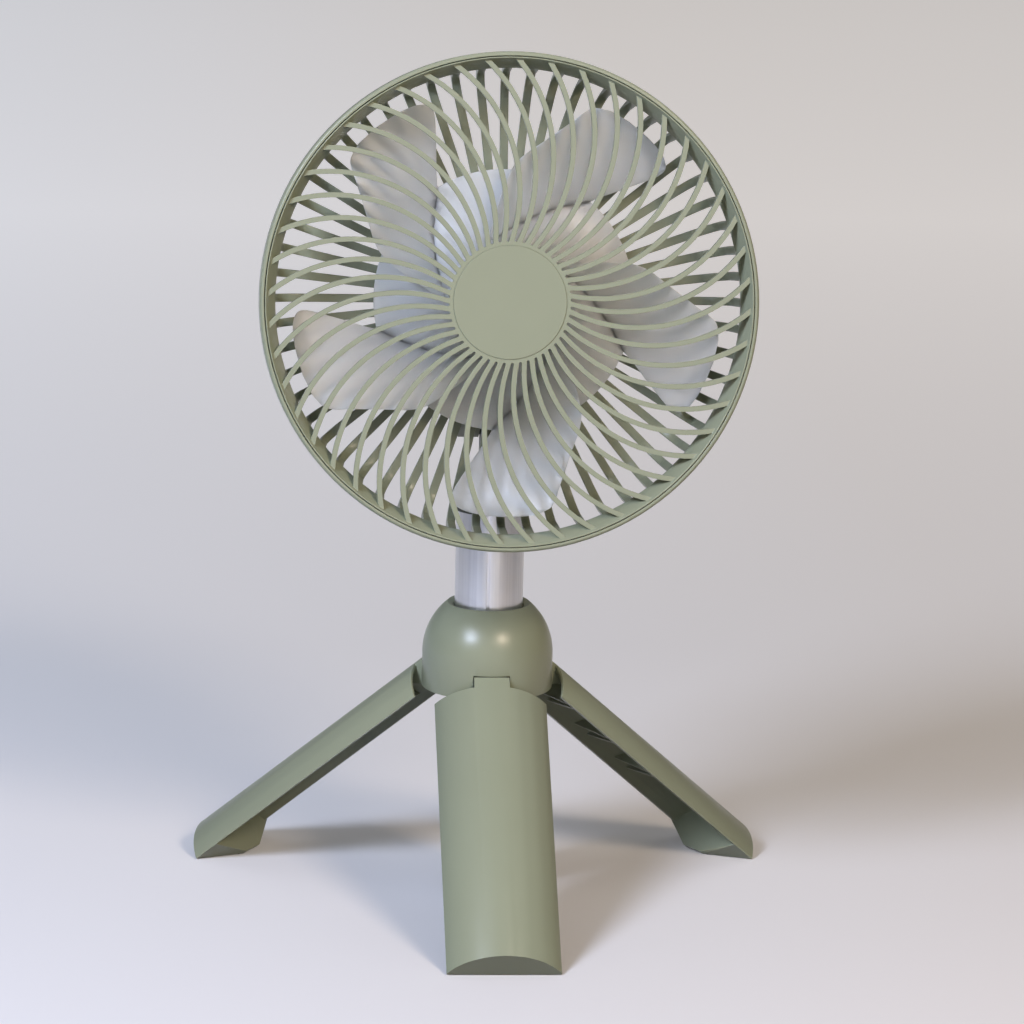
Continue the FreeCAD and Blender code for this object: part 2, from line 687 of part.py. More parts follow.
def rear_housing():
    """Round housing behind the cage, with the motor boss in front and the tilt fork below."""
    body = new_body("rear_housing")
    shell = sketch(body, "XZ_Plane")
    loop(
        shell,
        [
            ("bearing_dia / 2", "-" + BOSS_FRONT),
            ("boss_dia / 2", "-" + BOSS_FRONT),
            ("boss_dia / 2", "-cage_depth"),
            ("pod_dia / 2", "-cage_depth"),
            ("pod_dia / 2", "-" + POD_BACK),
            ("pod_dia / 2 - pod_wall", "-" + POD_BACK),
            ("pod_dia / 2 - pod_wall", "-cage_depth - pod_front"),
            ("bearing_dia / 2", "-cage_depth - pod_front"),
        ],
    )
    turn(body, shell)
    posts = sketch(body, "XY_Plane", "-" + BOARD_FRONT)
    post_circles(posts, "post_dia / 2")
    extrude(body, "Pad", posts, "board_depth - pod_front / 2")
    pilots = sketch(body, "XY_Plane", "-" + BOARD_FRONT)
    post_circles(pilots, "screw_dia / 2")
    extrude(body, "Pocket", pilots, "screw_length", backwards=True)
    fork_ears(body)
    mouth = sketch(body, "YZ_Plane", "pod_dia / 2 - 2 * pod_wall")
    box_loop(
        mouth,
        "-socket_wide / 2 - seat_gap",
        "socket_wide / 2 + seat_gap",
        "-" + BOARD_FRONT,
        "-" + BOARD_FRONT + " + socket_tall + seat_gap",
    )
    extrude(body, "Pocket", mouth, "3 * pod_wall", backwards=True)


def housing_cover():
    """Back lid: bevelled edge, spigot, four posts that press the board, button and lens holes."""
    body = new_body("housing_cover")
    lid = sketch(body, "XZ_Plane")
    back = "(-" + POD_BACK + " - cover_thick)"
    loop(
        lid,
        [
            ("0", "-" + POD_BACK + " + cover_spigot"),
            ("pod_dia / 2 - pod_wall - seat_gap", "-" + POD_BACK + " + cover_spigot"),
            ("pod_dia / 2 - pod_wall - seat_gap", "-" + POD_BACK),
            ("pod_dia / 2", "-" + POD_BACK),
            ("pod_dia / 2", back + " + cover_bevel"),
            ("pod_dia / 2 - cover_bevel", back),
            ("0", back),
        ],
    )
    turn(body, lid)
    posts = sketch(body, "XY_Plane", "-" + BOARD_BACK)
    post_circles(posts, "post_dia / 2")
    extrude(body, "Pad", posts, "pod_length - board_depth - board_thick", backwards=True)
    holes = sketch(body, "XY_Plane", back)
    post_circles(holes, "screw_dia / 2")
    circle(holes, "0", "button_height", "button_dia / 2 + air_gap")
    circle(holes, "0", "button_height - lens_drop", "lens_dia / 2")
    extrude(body, "Pocket", holes, "cover_thick + pod_length", backwards=True)
    sinks = sketch(body, "XY_Plane", back)
    post_circles(sinks, "screw_head / 2 + seat_gap")
    extrude(body, "Pocket", sinks, "screw_head_thick + seat_gap", backwards=True)
    room = sketch(body, "XY_Plane", "-" + POD_BACK + " + cover_spigot")
    circle(room, "0", "button_height", "button_dia / 2 + air_gap + button_flange")
    extrude(body, "Pocket", room, "cover_spigot + button_flange / 2")


def cover_screws():
    pieces = []
    for x in ("-post_x", "post_x"):
        for y in ("-post_y", "post_y"):
            low = "-" + POD_BACK + " - cover_thick + seat_gap"
            head = rod("screw_head / 2", "screw_head_thick", x, y, low)
            shank = rod("screw_dia / 2 - seat_gap", "screw_length", x, y, low)
            pieces.append(joined("CoverScrew", [head, shank]))
    group("cover_screws", pieces)


def control_board():
    """Round board on the housing's posts, with the switch under the button."""
    body = new_body("control_board")
    disc = sketch(body, "XY_Plane", "-" + BOARD_BACK)
    circle(disc, "0", "0", "pod_dia / 2 - pod_wall - board_room")
    post_circles(disc, "screw_dia / 2")
    extrude(body, "Pad", disc, "board_thick")
    switch = sketch(body, "XY_Plane", "-" + BOARD_BACK)
    box_loop(
        switch,
        "-screw_head / 2",
        "screw_head / 2",
        "button_height - screw_head / 2",
        "button_height + screw_head / 2",
    )
    extrude(body, "Pad", switch, "switch_thick", backwards=True)


def charging_socket():
    """Metal shell socket that lies on the board and faces out of the housing's side."""
    body = new_body("charging_socket")
    shell = sketch(body, "YZ_Plane", "pod_dia / 2 - seat_gap - socket_long")
    box_loop(
        shell,
        "-socket_wide / 2",
        "socket_wide / 2",
        "-" + BOARD_FRONT,
        "-" + BOARD_FRONT + " + socket_tall",
    )
    extrude(body, "Pad", shell, "socket_long")
    mouth = sketch(body, "YZ_Plane", "pod_dia / 2 - seat_gap")
    box_loop(
        mouth,
        "-socket_wide / 2 + socket_shell",
        "socket_wide / 2 - socket_shell",
        "-" + BOARD_FRONT + " + socket_shell",
        "-" + BOARD_FRONT + " + socket_tall - socket_shell",
    )
    extrude(body, "Pocket", mouth, "socket_long - 2 * socket_shell")


def battery_cells():
    """Two cells side by side across the housing."""
    pieces = []
    depth = "-cage_depth - pod_front - seat_gap - cell_dia / 2"
    for y in ("-cell_dia / 2 - seat_gap", "cell_dia / 2 + seat_gap"):
        pieces.append(rod("cell_dia / 2", "cell_length", "-cell_length / 2", y, depth, Vector(1, 0, 0)))
    group("battery_cells", pieces)


def indicator_lens():
    lens = rod(
        "lens_dia / 2 - seat_gap",
        "cover_thick + cover_spigot",
        "0",
        "button_height - lens_drop",
        "-" + POD_BACK + " - cover_thick",
    )
    group("indicator_lens", [lens])


def power_button():
    """Round button with a flange that keeps it behind the cover."""
    stem_top = "-" + BOARD_BACK + " - switch_thick - button_travel - air_gap"
    body = new_body("power_button")
    cap = sketch(body, "XY_Plane", "-" + POD_BACK + " - cover_thick - button_proud")
    circle(cap, "0", "button_height", "button_dia / 2")
    extrude(body, "Pad", cap, "cover_thick + button_proud + cover_spigot - button_travel")
    flange = sketch(body, "XY_Plane", "-" + POD_BACK + " + button_flange / 2 + seat_gap - button_flange")
    circle(flange, "0", "button_height", "button_dia / 2 + button_flange")
    extrude(body, "Pad", flange, "button_flange")
    stem = sketch(body, "XY_Plane", stem_top)
    circle(stem, "0", "button_height", "screw_dia / 2")
    extrude(body, "Pad", stem, "cover_spigot", backwards=True)


def rod_on_tilt_axis(radius, length, start):
    return rod(radius, length, start, "-pivot_drop", "-pivot_depth", Vector(1, 0, 0))


def ring_on_tilt_axis(name, radius, length, start):
    made = doc.addObject("Part::Cut", name)
    made.Base = rod_on_tilt_axis(radius, length, start)
    made.Tool = rod_on_tilt_axis("tilt_screw_dia / 2", length, start)
    return made


def tilt_hardware():
    """Screw, nut and friction washers on the tilt axis, which runs along X."""
    nut_start = "-fork_width / 2 - tilt_head_thick"
    shank = rod_on_tilt_axis("tilt_screw_dia / 2", "fork_width + tilt_head_thick", nut_start)
    head = rod_on_tilt_axis("tilt_head_dia / 2", "tilt_head_thick", "fork_width / 2")
    group("tilt_screw", [joined("TiltScrew", [shank, head])])
    group("tilt_nut", [ring_on_tilt_axis("TiltNut", "tilt_head_dia / 2", "tilt_head_thick", nut_start)])
    starts = ("-fork_slot / 2", "fork_slot / 2 - washer_thick")
    washers = [ring_on_tilt_axis("Washer", "tongue_thick / 2", "washer_thick", start) for start in starts]
    group("tilt_washers", washers)


# Mast. Local frame: the mast's axis is Z, and z = 0 is the floor.

MIDDLE_DIA = "(mast_dia - 2 * tube_wall - 2 * tube_step)"
UPPER_DIA = "(mast_dia - 4 * tube_wall - 4 * tube_step)"
MIDDLE_FLOOR = "(tube_floor + glide_flange + glide_spigot + stage_step)"
UPPER_FLOOR = "(tube_floor + 2 * glide_flange + 2 * glide_spigot + 2 * stage_step)"
MIDDLE_TOP = "(tube_top + collar_lip + air_gap + collar_sleeve - collar_lip)"
UPPER_TOP = "(tube_top + collar_lip + air_gap + collar_sleeve + air_gap)"


def mast_tube(name, diameter, low, high):
    """Aluminium tube with one fine groove down its front."""
    body = new_body(name)
    wall = sketch(body, "XZ_Plane")
    loop(wall, ring_points(diameter + " / 2 - tube_wall", diameter + " / 2", low, high))
    turn(body, wall)
    groove = sketch(body, "XY_Plane", low)
    box_loop(
        groove,
        diameter + " / 2 - groove_depth",
        diameter + " / 2 + groove_depth",
        "-groove_width / 2",
        "groove_width / 2",
    )
    extrude(body, "Pocket", groove, high + " - " + low, backwards=True)


def collar(name, diameter, tube_end, running):
    """Plastic collar over a tube's end, which guides the next tube."""
    outer = diameter + " / 2 + collar_wall"
    turned_piece(
        name,
        [
            (diameter + " / 2", tube_end + " - collar_sleeve + collar_lip"),
            (outer, tube_end + " - collar_sleeve + collar_lip"),
            (outer, tube_end + " + collar_lip - tube_step"),
            (outer + " - tube_step", tube_end + " + collar_lip"),
            (running + " / 2 + tube_step", tube_end + " + collar_lip"),
            (running + " / 2 + tube_step", tube_end),
            (diameter + " / 2", tube_end),
        ],
    )


def end_fitting(name, flange_dia, tube_dia, low, bore):
    """Flanged fitting pushed into a tube's lower end."""
    turned_piece(
        name,
        [
            (bore, low + " - glide_flange"),
            (flange_dia + " / 2", low + " - glide_flange"),
            (flange_dia + " / 2", low),
            (tube_dia + " / 2 - tube_wall", low),
            (tube_dia + " / 2 - tube_wall", low + " + glide_spigot"),
            (bore, low + " + glide_spigot"),
        ],
    )


def tilt_tongue():
    """Fitting in the upper tube's end, with the upright tongue that the head tilts on."""
    body = new_body("tilt_tongue")
    spigot = sketch(body, "XZ_Plane")
    loop(
        spigot,
        [
            ("0", UPPER_TOP + " - tongue_spigot"),
            (UPPER_DIA + " / 2 - tube_wall", UPPER_TOP + " - tongue_spigot"),
            (UPPER_DIA + " / 2 - tube_wall", UPPER_TOP),
            (UPPER_DIA + " / 2 + collar_wall / 2", UPPER_TOP),
            (UPPER_DIA + " / 2 + collar_wall / 2", UPPER_TOP + " + tongue_flange"),
            ("0", UPPER_TOP + " + tongue_flange"),
        ],
    )
    turn(body, spigot)
    blade = sketch(body, "YZ_Plane")
    half = "tongue_thick / 2"
    loop(
        blade,
        [
            ("-" + half, UPPER_TOP + " + tongue_flange / 2"),
            (half, UPPER_TOP + " + tongue_flange / 2"),
            (half, "pivot_height", half, -1),
            ("0", "pivot_height + " + half, half, -1),
            ("-" + half, "pivot_height"),
        ],
    )
    extrude(body, "Pad", blade, "tongue_width", both=True)
    hole = sketch(body, "YZ_Plane")
    circle(hole, "0", "pivot_height", "tilt_screw_dia / 2 + shaft_fit")
    extrude(body, "Pocket", hole, "2 * tongue_width", both=True)


# Base and legs. Local frame: the handle's axis is Z, z = 0 is the leg hinge axis's height, and
# the first hinge lies on +X. A leg is drawn folded down along the handle.

HANDLE_R = "(handle_dia / 2)"
INNER_R = "(handle_dia / 2 - shell_wall)"
HINGE_R = "(handle_dia / 2 - hinge_inset)"
DOME_LOW = "(hinge_inset * tan(leg_spread * 1 deg / 2) - notch_height)"
LEG_COUNT = str(len(LEG_ANGLES))
HALF_SECTOR = "(180 deg / " + LEG_COUNT + ")"
CHORD = "(handle_dia / 2 * cos" + HALF_SECTOR + ")"
LEG_HALF = "(handle_dia / 2 * sin" + HALF_SECTOR + " - leg_side_gap)"
HUB_LOW = "(" + DOME_LOW + " + leg_hub_floor)"
HUB_TOP = "(" + DOME_LOW + " + leg_hub_floor + leg_hub_arms + leg_hub_plate)"
EQUATOR = "(" + DOME_LOW + " + dome_skirt)"
RIM_R = "(dome_bore / 2 + dome_chamfer)"
CEILING = "(" + EQUATOR + " + sqrt(" + INNER_R + "^2 - " + RIM_R + "^2))"
KNEE_R = "(" + INNER_R + " * cos(dome_knee * 1 deg))"
KNEE_HEIGHT = "(" + EQUATOR + " + " + INNER_R + " * sin(dome_knee * 1 deg))"
SLEEVE_R = "(mast_dia / 2 + hub_sleeve_wall)"
POST_R = "((" + INNER_R + " + " + SLEEVE_R + ") / 2 - dome_post_offset)"
CEILING_SLOPE = "((" + CEILING + " - " + KNEE_HEIGHT + ") / (" + KNEE_R + " - " + RIM_R + "))"
POST_TOP = "(%s + (%s - %s) * %s - dome_post_drop)" % (KNEE_HEIGHT, KNEE_R, POST_R, CEILING_SLOPE)


def dome_cover():
    """Domed cover over the hinges, with a dished opening for the mast and three notches."""
    body = new_body("dome_cover")
    wall = sketch(body, "XZ_Plane")
    rim_height = EQUATOR + " + sqrt(" + HANDLE_R + "^2 - " + RIM_R + "^2)"
    loop(
        wall,
        [
            (INNER_R, DOME_LOW),
            (HANDLE_R, DOME_LOW),
            (HANDLE_R, EQUATOR, HANDLE_R, -1),
            (RIM_R, rim_height),
            ("dome_bore / 2", rim_height + " - dome_chamfer / 2"),
            ("dome_bore / 2", CEILING),
            (RIM_R, CEILING),
            (KNEE_R, KNEE_HEIGHT),
            (INNER_R, HUB_TOP + " + air_gap"),
        ],
    )
    turn(body, wall)
    notch = sketch(body, "XY_Plane", DOME_LOW)
    box_loop(notch, HINGE_R, HANDLE_R + " + hinge_inset", "-notch_width / 2", "notch_width / 2")
    around(body, extrude(body, "Pocket", notch, "notch_height", backwards=True), LEG_COUNT)
    post = sketch(body, "XY_Plane", HUB_TOP)
    circle(post, "-" + POST_R, "0", "dome_post_dia / 2")
    circle(post, "-" + POST_R, "0", "screw_dia / 2")
    around(body, extrude(body, "Pad", post, POST_TOP + " - " + HUB_TOP), LEG_COUNT)


def leg_hub():
    """Hinge blocks between the legs, joined by a plate and a sleeve round the mast."""
    body = new_body("leg_hub")
    solid = sketch(body, "XZ_Plane")
    loop(
        solid,
        [
            ("mast_dia / 2", HUB_LOW),
            (INNER_R + " - air_gap", HUB_LOW),
            (INNER_R + " - air_gap", HUB_TOP),
            (SLEEVE_R, HUB_TOP),
            (SLEEVE_R, DOME_LOW + " + hub_sleeve_top"),
            ("mast_dia / 2", DOME_LOW + " + hub_sleeve_top"),
        ],
    )
    turn(body, solid)
    slot = sketch(body, "XY_Plane", HUB_LOW)
    box_loop(slot, "0", HANDLE_R, "-notch_width / 2", "notch_width / 2")
    around(body, extrude(body, "Pocket", slot, "leg_hub_arms", backwards=True), LEG_COUNT)
    pin = sketch(body, "XZ_Plane")
    circle(pin, HINGE_R, "0", "hinge_pin_dia / 2")
    around(body, extrude(body, "Pocket", pin, "hinge_pin_length", both=True), LEG_COUNT)
    screw = sketch(body, "XY_Plane", HUB_LOW)
    circle(screw, "-" + POST_R, "0", "screw_dia / 2")
    around(body, extrude(body, "Pocket", screw, "leg_hub_arms + leg_hub_plate", backwards=True), LEG_COUNT)
    sink = sketch(body, "XY_Plane", HUB_LOW)
    circle(sink, "-" + POST_R, "0", "screw_head / 2 + seat_gap")
    around(body, extrude(body, "Pocket", sink, "screw_head_thick", backwards=True), LEG_COUNT)


def turned_about_axis(piece, angle):
    """A copy turned about the handle's axis."""
    made = doc.addObject("Part::Compound", "Turned")
    made.Links = [piece]
    made.Placement = Placement(Vector(), Rotation(Vector(0, 0, 1), angle))
    return made


def hub_fasteners():
    """Three hinge pins and three screws that hold the dome on the hub."""
    pins, screws = [], []
    pin_start = "-hinge_pin_length / 2"
    for direction in LEG_ANGLES.values():
        angle = direction - LEG_ANGLES["front"]
        pin = rod("hinge_pin_dia / 2", "hinge_pin_length", HINGE_R, pin_start, "0", Vector(0, 1, 0))
        pins.append(turned_about_axis(pin, angle))
        head = rod("screw_head / 2", "screw_head_thick", "-" + POST_R, "0", HUB_LOW)
        shank = rod("screw_dia / 2", "dome_screw_length", "-" + POST_R, "0", HUB_LOW)
        screws.append(turned_about_axis(joined("HubScrew", [head, shank]), angle))
    group("leg_pins", pins)
    group("hub_screws", screws)


def knuckle(body):
    """Hinge tab: a barrel round the pin, and a block that joins it to the leg's shell."""
    barrel = "knuckle_radius"
    lean = "(knuckle_lean * 1 deg)"
    inner = HINGE_R + " - " + barrel
    made = sketch(body, "XZ_Plane")
    loop(
        made,
        [
            (inner, "0", barrel, 1),
            (HINGE_R, barrel, barrel, 1),
            (HINGE_R + " + " + barrel + " * cos(" + lean + ")", "-" + barrel + " * sin(" + lean + ")"),
            (HANDLE_R, "-hinge_inset * tan(leg_spread * 1 deg / 2) - tab_gap"),
            (HANDLE_R + " + shell_wall", "-hinge_inset * tan(leg_spread * 1 deg / 2) - tab_gap"),
            (HANDLE_R + " + shell_wall", "-leg_top - shell_wall"),
            (INNER_R + " + shell_wall / 2", "-leg_top - 2 * hinge_inset"),
            (inner, "-leg_top"),
        ],
    )
    extrude(body, "Pad", made, "notch_width - 2 * tab_gap", both=True)


def sole_point(along, up):
    """A point on the sole: a distance inwards along it, and a height into the foot."""
    swing = "(leg_spread * 1 deg)"
    x = "%s - (%s) * cos(%s) + (%s) * sin(%s)" % (CHORD, along, swing, up, swing)
    z = "-leg_length + (%s) * sin(%s) + (%s) * cos(%s)" % (along, swing, up, swing)
    return x, z


def leg(side):
    """A third of the handle's wall as a channel: hinge tab, V-shaped ribs, wedge foot."""
    body = new_body("leg_" + side)
    wall = sketch(body, "XY_Plane", "-leg_length")
    flank = "sqrt(" + HANDLE_R + "^2 - " + LEG_HALF + "^2)"
    loop(
        wall,
        [
            (CHORD, "-" + LEG_HALF),
            (flank, "-" + LEG_HALF, HANDLE_R, -1),
            (HANDLE_R, "0", HANDLE_R, -1),
            (flank, LEG_HALF),
            (CHORD, LEG_HALF),
        ],
    )
    extrude(body, "Pad", wall, "leg_length - leg_top")
    channel = sketch(body, "XY_Plane", "-leg_length + foot_block")
    inside = "(" + LEG_HALF + " - lip_width)"
    corner = "sqrt(" + INNER_R + "^2 - " + inside + "^2)"
    mouth = CHORD + " - shell_wall"
    loop(
        channel,
        [
            (mouth, "-" + inside),
            (corner, "-" + inside, INNER_R, -1),
            (INNER_R, "0", INNER_R, -1),
            (corner, inside),
            (mouth, inside),
        ],
    )
    extrude(body, "Pocket", channel, "leg_length", backwards=True)
    bevel = sketch(body, "XZ_Plane")
    loop(
        bevel,
        [
            (INNER_R + " - leg_bevel", "-leg_top - 2 * leg_bevel"),
            (INNER_R + " + leg_bevel", "-leg_top"),
            (INNER_R + " - leg_bevel", "-leg_top"),
        ],
    )
    turn(body, bevel, "Groove")
    braces = sketch(body, "YZ_Plane", "brace_inner")
    half = "brace_thick / 2"
    for k in range(int(number("brace_count"))):
        level = "(-brace_first - %d * brace_pitch)" % k
        low, high = "-" + inside + " - lip_width / 4", inside + " + lip_width / 4"
        loop(
            braces,
            [
                (low, level + " + " + half),
                (high, level + " + brace_open + " + half),
                (high, level + " + brace_open - " + half),
                (low + " + 4 * brace_thick", level),
                (high, level + " - brace_open + " + half),
                (high, level + " - brace_open - " + half),
                (low, level + " - " + half),
            ],
        )
    extrude(body, "Pad", braces, HANDLE_R + " - brace_inner - shell_wall / 2")
    foot = sketch(body, "XY_Plane", "-leg_length")
    loop(
        foot,
        [
            (CHORD + " + leg_side_gap", "-" + LEG_HALF),
            (CHORD, "-" + LEG_HALF),
            ("foot_inner", "-foot_nose / 2"),
            ("foot_inner", "foot_nose / 2"),
            (CHORD, LEG_HALF),
            (CHORD + " + leg_side_gap", LEG_HALF),
        ],
    )
    extrude(body, "Pad", foot, "foot_block")
    knuckle(body)
    outside = sketch(body, "XY_Plane", "knuckle_radius")
    circle(outside, "0", "0", HANDLE_R)
    circle(outside, "0", "0", HANDLE_R + " + handle_dia")
    extrude(body, "Pocket", outside, "2 * leg_length")
    sole = sketch(body, "XZ_Plane")
    reach, below = "2 * handle_dia", "-handle_dia"
    corners = (("0", "0"), (reach, "0"), (reach, below), ("0", below))
    loop(sole, [sole_point(along, up) for along, up in corners])
    extrude(body, "Pocket", sole, "2 * handle_dia", both=True)
    recess = sketch(body, "XZ_Plane")
    loop(recess, pad_outline("sole_sunk", "seat_gap"))
    extrude(body, "Pocket", recess, "sole_wide + 2 * seat_gap", both=True)
    hole = sketch(body, "XZ_Plane")
    circle(hole, HINGE_R, "0", "hinge_pin_dia / 2 + shaft_fit")
    extrude(body, "Pocket", hole, "handle_dia", both=True)


def pad_outline(deep, slack):
    """Section of a rubber pad, or with slack of its recess, along the sole."""
    low = "-sole_proud"
    start, stop = "sole_start - " + slack, "sole_start + sole_long + " + slack
    return [sole_point(start, low), sole_point(stop, low), sole_point(stop, deep), sole_point(start, deep)]


def foot_pad(side):
    body = new_body("foot_pad_" + side)
    made = sketch(body, "XZ_Plane")
    loop(made, pad_outline("sole_sunk", "0"))
    extrude(body, "Pad", made, "sole_wide", both=True)


HEAD_PIECES = (
    "front_grille grille_cap rear_cage rear_housing housing_cover cover_screws control_board"
    " charging_socket battery_cells indicator_lens power_button tilt_screw tilt_nut tilt_washers"
    " motor_stator motor_bearings"
).split()
SPINNING_PIECES = "impeller motor_rotor motor_shaft impeller_nut".split()
MAST_PIECES = (
    "lower_tube tube_collar tube_end_plug middle_tube middle_collar middle_glide"
    " upper_tube upper_glide tilt_tongue"
).split()
BASE_PIECES = "dome_cover leg_hub leg_pins hub_screws".split()


def hinge_height():
    """Height of the leg hinges that puts the standing legs' soles on the floor."""
    swing = math.radians(number("leg_spread"))
    inward = number(HINGE_R) - number(CHORD)
    return inward * math.sin(swing) + number("leg_length") * math.cos(swing) + number("sole_proud")


def head_placement():
    """The head leans back about the tilt pivot, and faces -Y."""
    rotation = Rotation(Vector(1, 0, 0), 90 - number("rest_tilt"))
    pivot = Vector(0, -number("pivot_drop"), -number("pivot_depth"))
    return Placement(Vector(0, 0, number("pivot_height")) - rotation.multVec(pivot), rotation)


def leg_placement(angle):
    """A leg stands out from the handle's axis about its own hinge."""
    hinge = Vector(number(HINGE_R), 0, 0)
    swing = Placement(Vector(), Rotation(Vector(0, 1, 0), -number("leg_spread")), hinge)
    about = Placement(Vector(0, 0, hinge_height()), Rotation(Vector(0, 0, 1), angle))
    return about.multiply(swing)


def piece_placements():
    places = {name: head_placement() for name in HEAD_PIECES}
    spin = Placement(Vector(), Rotation(Vector(0, 0, 1), -BLADE_TURN))
    places.update({name: head_placement().multiply(spin) for name in SPINNING_PIECES})
    groove = Placement(Vector(), Rotation(Vector(0, 0, 1), LEG_ANGLES["front"] - number("groove_turn")))
    places.update({name: Placement() for name in MAST_PIECES})
    places.update({name: groove for name in ("lower_tube", "middle_tube", "upper_tube")})
    base = Placement(Vector(0, 0, hinge_height()), Rotation(Vector(0, 0, 1), LEG_ANGLES["front"]))
    places.update({name: base for name in BASE_PIECES})
    for side, angle in LEG_ANGLES.items():
        places["leg_" + side] = leg_placement(angle)
        places["foot_pad_" + side] = leg_placement(angle)
    return places


def build():
    front_grille()
    grille_cap()
    rear_cage()
    impeller()
    motor_rotor()
    motor_stator()
    motor_bearings()
    motor_shaft()
    impeller_nut()
    rear_housing()
    housing_cover()
    cover_screws()
    control_board()
    charging_socket()
    battery_cells()
    indicator_lens()
    power_button()
    tilt_hardware()
    mast_tube("lower_tube", "mast_dia", "tube_floor", "tube_top")
    mast_tube("middle_tube", MIDDLE_DIA, MIDDLE_FLOOR, MIDDLE_TOP)
    mast_tube("upper_tube", UPPER_DIA, UPPER_FLOOR, UPPER_TOP)
    collar("tube_collar", "mast_dia", "tube_top", MIDDLE_DIA)
    collar("middle_collar", MIDDLE_DIA, MIDDLE_TOP, UPPER_DIA)
    end_fitting("tube_end_plug", "mast_dia", "mast_dia", "tube_floor", "0")
    sliding = " - 2 * tube_wall - 2 * glide_fit)"
    bore = " / 2 - tube_wall - glide_wall"
    end_fitting("middle_glide", "(mast_dia" + sliding, MIDDLE_DIA, MIDDLE_FLOOR, MIDDLE_DIA + bore)
    end_fitting("upper_glide", "(" + MIDDLE_DIA + sliding, UPPER_DIA, UPPER_FLOOR, UPPER_DIA + bore)
    tilt_tongue()
    dome_cover()
    leg_hub()
    hub_fasteners()
    for side in LEG_ANGLES:
        leg(side)
        foot_pad(side)


def place_pieces():
    """Puts every piece in its standing place, then centres the whole outline over the origin."""
    for name, place in piece_placements().items():
        parts[name].Placement = place
    doc.recompute()
    outline = FreeCAD.BoundBox()
    for piece in parts.values():
        outline.add(piece.Shape.optimalBoundingBox(False))
    centring = Placement(Vector(-outline.Center.x, -outline.Center.y, -outline.ZMin), Rotation())
    for piece in parts.values():
        piece.Placement = centring.multiply(piece.Placement)
    doc.recompute()
    return centring.Base


def check_objects():
    """Stops if any object failed, or if any sub-part is empty, broken or in more solids than meant."""
    faults = [made.Name for made in doc.Objects if "Invalid" in made.State or "Error" in made.State]
    for name, piece in parts.items():
        whole = not piece.Shape.isNull() and piece.Shape.isValid() and piece.Shape.Solids
        if not whole or (piece.TypeId == "PartDesign::Body" and len(piece.Shape.Solids) != 1):
            faults.append(name)
    if faults:
        raise RuntimeError("not built: " + ", ".join(faults))


def main():
    build()
    doc.recompute()
    check_objects()
    centred = place_pieces()
    check_objects()
    os.makedirs("parts", exist_ok=True)
    for name, piece in parts.items():
        piece.Shape.exportStep("parts/" + name + ".step")
    print("sub-parts:", len(parts))
    print("mast axis at y =", round(centred.y, 4), "lifted", round(centred.z, 4))
    print("leg hinge height:", round(hinge_height() + centred.z, 4))


main()
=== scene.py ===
"""Looks of the portable camping fan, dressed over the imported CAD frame. Metres, Z up."""

import json
import math

import bmesh
import bpy
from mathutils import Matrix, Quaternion, Vector


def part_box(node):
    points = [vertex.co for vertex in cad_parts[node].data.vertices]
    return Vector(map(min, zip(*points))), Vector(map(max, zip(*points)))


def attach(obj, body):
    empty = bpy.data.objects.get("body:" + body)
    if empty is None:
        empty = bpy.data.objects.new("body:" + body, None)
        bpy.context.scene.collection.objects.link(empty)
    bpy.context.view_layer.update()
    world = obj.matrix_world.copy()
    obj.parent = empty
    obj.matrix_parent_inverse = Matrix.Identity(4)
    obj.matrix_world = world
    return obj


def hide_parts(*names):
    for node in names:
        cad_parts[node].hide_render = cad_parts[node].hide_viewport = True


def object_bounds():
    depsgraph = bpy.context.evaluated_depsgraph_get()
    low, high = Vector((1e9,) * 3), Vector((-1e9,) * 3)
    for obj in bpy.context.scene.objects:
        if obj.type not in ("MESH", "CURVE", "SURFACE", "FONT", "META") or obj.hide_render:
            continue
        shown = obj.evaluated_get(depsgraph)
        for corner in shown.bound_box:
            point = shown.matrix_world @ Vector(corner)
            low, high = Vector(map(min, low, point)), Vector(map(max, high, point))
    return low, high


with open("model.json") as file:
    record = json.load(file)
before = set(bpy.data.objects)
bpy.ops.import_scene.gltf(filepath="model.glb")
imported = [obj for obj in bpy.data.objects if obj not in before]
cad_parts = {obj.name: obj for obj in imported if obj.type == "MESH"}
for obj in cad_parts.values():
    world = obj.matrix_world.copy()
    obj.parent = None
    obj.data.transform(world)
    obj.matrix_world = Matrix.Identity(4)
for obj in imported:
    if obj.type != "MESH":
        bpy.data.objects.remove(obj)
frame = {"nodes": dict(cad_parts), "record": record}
cad_low, cad_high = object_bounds()

MM = 0.001

# Camera, as fitted to the photograph: a long lens, a little above the fan and to its right.
TARGET_HEIGHT = 146.2 * MM
TARGET_RIGHT = 8.0 * MM
CAMERA_DISTANCE = 2.2
CAMERA_ELEVATION = math.radians(12.75)
CAMERA_TURN = math.radians(-4.7)
CAMERA_ROLL = math.radians(1.35)
FOCAL_PIXELS = 5885
IMAGE_PIXELS = 1024
SENSOR_WIDTH = 36

# Colours as they are seen, sRGB.
SAGE = "#8e937c"
SAGE_DEEP = "#8c917a"
FROSTED = "#dfe0e0"
FROSTED_DEEP = "#d9dbdc"
ALUMINIUM = "#e4e4e6"
ALUMINIUM_DEEP = "#d6d6d9"
BUTTON = "#7c8270"
BUTTON_DEEP = "#747a68"
DARK_PLASTIC = "#4b4d45"
DARK_PLASTIC_DEEP = "#434840"
RUBBER = "#2c2c2a"
RUBBER_DUSTY = "#3a3a37"
STEEL = "#a5a6a8"
STEEL_DEEP = "#96979a"
COPPER = "#a8632f"
COPPER_DEEP = "#7d4520"
CELL_BLUE = "#3f7fa6"
CELL_BLUE_DEEP = "#37739a"
BOARD_GREEN = "#1f5a34"
BOARD_GREEN_DEEP = "#1b5230"
LENS = "#e8ece8"
LENS_DEEP = "#dfe4df"
PAPER_NEAR = "#e8e8e9"
